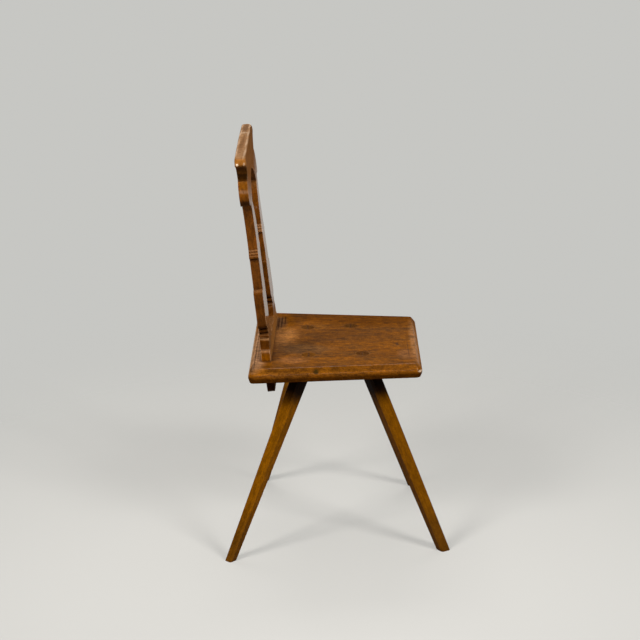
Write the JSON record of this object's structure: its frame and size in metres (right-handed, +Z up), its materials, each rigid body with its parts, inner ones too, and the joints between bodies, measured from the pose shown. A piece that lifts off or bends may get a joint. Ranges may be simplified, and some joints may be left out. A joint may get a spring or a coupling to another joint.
{
  "type": "wooden chair",
  "caption": "Plank-seat chair with a carved and pierced leaning back board tenoned and keyed through the seat, on splayed wedged legs.",
  "frame": {"origin": "middle of the chair's footprint box, on the floor", "axes": "+Z up; the chair faces -Y; +X is the sitter's left"},
  "size_m": [0.4998, 0.4984, 0.9015],
  "materials": {
    "plank_wood": "waxed, worn satin",
    "board_wood": "waxed, polished by hands",
    "leg_wood": "waxed satin",
    "wedge_wood": "dark end grain, waxed",
    "key_wood": "bare, aged"
  },
  "bodies": {
    "root": {"back_board": "board_wood", "back_key_left": "key_wood", "back_key_right": "key_wood", "leg_front_left": "leg_wood", "leg_front_right": "leg_wood", "leg_rear_left": "leg_wood", "leg_rear_right": "leg_wood", "leg_wedge_front_left": "wedge_wood", "leg_wedge_front_right": "wedge_wood", "leg_wedge_rear_left": "wedge_wood", "leg_wedge_rear_right": "wedge_wood", "seat": "plank_wood"}
  },
  "joints": []
}
